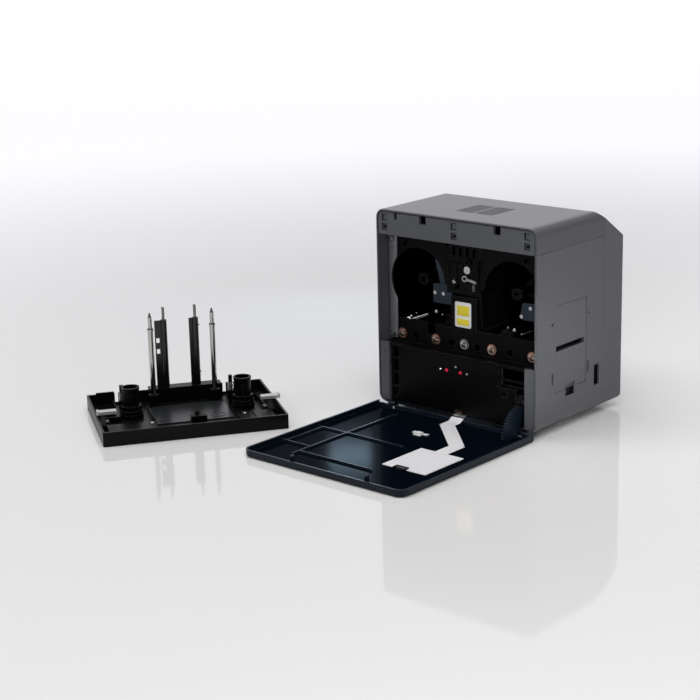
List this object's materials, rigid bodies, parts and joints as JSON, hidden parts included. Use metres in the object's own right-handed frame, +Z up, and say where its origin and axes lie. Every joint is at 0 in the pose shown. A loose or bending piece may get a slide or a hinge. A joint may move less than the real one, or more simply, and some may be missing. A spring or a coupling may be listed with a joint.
{
  "type": "id card printer",
  "caption": "Desktop card printer with a bottom-hinged front door lying open, geared door damper, roller card path and a separate film spool cassette.",
  "frame": {"origin": "on the table, midway across the casing's front plane", "axes": "+X to the right seen from the front, +Y from the front to the back of the printer, +Z up from the table"},
  "size_m": [0.5509, 0.5318, 0.264],
  "materials": {
    "casing": "fine matte texture",
    "fascia": "matte",
    "door_plastic": "satin",
    "black_plastic": "satin",
    "inner_black": "matte",
    "black_metal": "satin black",
    "zinc_steel": "zinc plated",
    "bright_steel": "polished",
    "brass": "turned",
    "roller_rubber": "ground",
    "foot_rubber": "matte",
    "red_lens": "clear gloss",
    "white_lens": "gloss",
    "label_white": "smooth",
    "white_plastic": "satin",
    "cream_plastic": "satin",
    "grey_plastic": "satin",
    "board_green": "solder mask",
    "window_dark": "gloss",
    "sector_navy": "moulded satin",
    "ribbon": "smooth"
  },
  "bodies": {
    "printer_base": {"top_cover": "casing", "header_panel": "fascia", "left_side_cover": "casing", "right_side_cover": "casing", "rear_cover": "casing", "right_hatch": "casing", "rear_sockets": "black_plastic", "base_pan": "zinc_steel", "rubber_feet": "foot_rubber", "hinge_pins": "bright_steel", "left_chassis_plate": "zinc_steel", "right_chassis_plate": "black_metal", "front_frame": "inner_black", "bulkhead": "black_metal", "roller_deck": "inner_black", "shaft_bushings": "brass", "guide_rods": "bright_steel", "head_carrier": "inner_black", "heater_housing": "inner_black", "blank_label": "label_white", "film_brackets": "zinc_steel", "inner_screws": "bright_steel", "lower_panel": "fascia", "red_lamps": "red_lens", "white_lamps": "white_lens", "damper_housing": "black_plastic", "control_board": "board_green", "drive_motor": "black_metal", "cable_tail": "ribbon"},
    "front_door": {"door_shell": "door_plastic", "display_window": "window_dark", "display_plate": "white_plastic", "flat_cable": "ribbon", "cable_clip": "white_plastic", "gear_sector": "sector_navy"},
    "damper_pinion": {"damper_pinion": "black_plastic"},
    "left_coupler": {"left_coupler": "inner_black"},
    "right_coupler": {"right_coupler": "inner_black"},
    "transport_roller_1": {"transport_roller_1": "bright_steel"},
    "transport_roller_2": {"transport_roller_2": "bright_steel"},
    "transport_roller_3": {"transport_roller_3": "bright_steel"},
    "transport_roller_4": {"transport_roller_4": "bright_steel"},
    "transport_roller_5": {"transport_roller_5": "bright_steel"},
    "pinch_roller_1": {"pinch_roller_1": "roller_rubber"},
    "pinch_roller_2": {"pinch_roller_2": "roller_rubber"},
    "heat_roller": {"heat_roller": "roller_rubber"},
    "head_lever": {"head_lever": "zinc_steel"},
    "fan_rotor": {"fan_rotor": "black_plastic"},
    "power_rocker": {"power_rocker": "black_plastic"},
    "spool_cassette": {"cassette_tray": "black_plastic", "cassette_plate": "grey_plastic", "left_guide_post": "black_plastic", "right_guide_post": "black_plastic", "post_pins": "bright_steel"},
    "left_cup": {"left_cup": "black_plastic"},
    "right_cup": {"right_cup": "black_plastic"},
    "left_steel_roller": {"left_steel_roller": "bright_steel"},
    "right_steel_roller": {"right_steel_roller": "bright_steel"},
    "left_handle": {"left_handle": "cream_plastic"},
    "right_handle": {"right_handle": "cream_plastic"}
  },
  "joints": [
    {"name": "door_hinge", "type": "hinge", "parent": "printer_base", "child": "front_door", "pos_m": [0, -0.00195, 0.00795], "axis": [-1, 0, 0], "range_deg": [0, 90]},
    {"name": "damper_pinion_spin", "type": "hinge", "parent": "printer_base", "child": "damper_pinion", "pos_m": [0.1, 0.00143, 0.04655], "axis": [-1, 0, 0], "range_deg": [-470, 2]},
    {"name": "left_coupler_spin", "type": "hinge", "parent": "printer_base", "child": "left_coupler", "pos_m": [-0.0735, 0.06, 0.172], "axis": [0, 1, 0], "continuous": true},
    {"name": "right_coupler_spin", "type": "hinge", "parent": "printer_base", "child": "right_coupler", "pos_m": [0.0735, 0.06, 0.172], "axis": [0, 1, 0], "continuous": true},
    {"name": "transport_roller_1_spin", "type": "hinge", "parent": "printer_base", "child": "transport_roller_1", "pos_m": [-0.0986, 0.07, 0.0993], "axis": [0, 1, 0], "continuous": true},
    {"name": "transport_roller_2_spin", "type": "hinge", "parent": "printer_base", "child": "transport_roller_2", "pos_m": [-0.04399, 0.07, 0.0993], "axis": [0, 1, 0], "continuous": true},
    {"name": "transport_roller_3_spin", "type": "hinge", "parent": "printer_base", "child": "transport_roller_3", "pos_m": [0.0018, 0.07, 0.0993], "axis": [0, 1, 0], "continuous": true},
    {"name": "transport_roller_4_spin", "type": "hinge", "parent": "printer_base", "child": "transport_roller_4", "pos_m": [0.04474, 0.07, 0.0993], "axis": [0, 1, 0], "continuous": true},
    {"name": "transport_roller_5_spin", "type": "hinge", "parent": "printer_base", "child": "transport_roller_5", "pos_m": [0.106, 0.07, 0.0993], "axis": [0, 1, 0], "continuous": true},
    {"name": "pinch_roller_1_spin", "type": "hinge", "parent": "printer_base", "child": "pinch_roller_1", "pos_m": [-0.04399, 0.07, 0.11376], "axis": [0, 1, 0], "continuous": true},
    {"name": "pinch_roller_2_spin", "type": "hinge", "parent": "printer_base", "child": "pinch_roller_2", "pos_m": [0.04474, 0.07, 0.11376], "axis": [0, 1, 0], "continuous": true},
    {"name": "heat_roller_spin", "type": "hinge", "parent": "printer_base", "child": "heat_roller", "pos_m": [0.0018, 0.07, 0.11876], "axis": [0, 1, 0], "continuous": true},
    {"name": "head_lever_pivot", "type": "hinge", "parent": "printer_base", "child": "head_lever", "pos_m": [0.004, 0.018, 0.185], "axis": [0, 1, 0], "range_deg": [0, 80]},
    {"name": "fan_spin", "type": "hinge", "parent": "printer_base", "child": "fan_rotor", "pos_m": [0.03, 0.183, 0.14325], "axis": [0, 1, 0], "continuous": true},
    {"name": "power_rocker_pivot", "type": "hinge", "parent": "printer_base", "child": "power_rocker", "pos_m": [0.048, 0.19, 0.062], "axis": [-1, 0, 0], "range_deg": [0, 12]},
    {"name": "cassette_lift", "type": "slide", "parent": "printer_base", "child": "spool_cassette", "axis": [0, 0, 1], "range_m": [0, 0.25]},
    {"name": "left_cup_spin", "type": "hinge", "parent": "spool_cassette", "child": "left_cup", "pos_m": [-0.34137, -0.2408, 0.02], "axis": [0, 0, 1], "continuous": true},
    {"name": "right_cup_spin", "type": "hinge", "parent": "spool_cassette", "child": "right_cup", "pos_m": [-0.25917, -0.11894, 0.02], "axis": [0, 0, 1], "continuous": true},
    {"name": "left_steel_roller_spin", "type": "hinge", "parent": "spool_cassette", "child": "left_steel_roller", "pos_m": [-0.3551, -0.18874, 0.06], "axis": [0, 0, 1], "continuous": true},
    {"name": "right_steel_roller_spin", "type": "hinge", "parent": "spool_cassette", "child": "right_steel_roller", "pos_m": [-0.30923, -0.12073, 0.06], "axis": [0, 0, 1], "continuous": true},
    {"name": "left_handle_slide", "type": "slide", "parent": "spool_cassette", "child": "left_handle", "axis": [0.5592, 0.829, 0], "range_m": [0, 0.004], "stiffness_N_per_m": 300, "springref_m": -0.002},
    {"name": "right_handle_slide", "type": "slide", "parent": "spool_cassette", "child": "right_handle", "axis": [-0.5592, -0.829, 0], "range_m": [0, 0.004], "stiffness_N_per_m": 300, "springref_m": -0.002}
  ],
  "couplings": [
    {"joint": "damper_pinion_spin", "follows": "door_hinge", "ratio": -5.2},
    {"joint": "transport_roller_2_spin", "follows": "transport_roller_1_spin", "ratio": 1},
    {"joint": "transport_roller_3_spin", "follows": "transport_roller_1_spin", "ratio": 1},
    {"joint": "transport_roller_4_spin", "follows": "transport_roller_1_spin", "ratio": 1},
    {"joint": "transport_roller_5_spin", "follows": "transport_roller_1_spin", "ratio": 1}
  ]
}
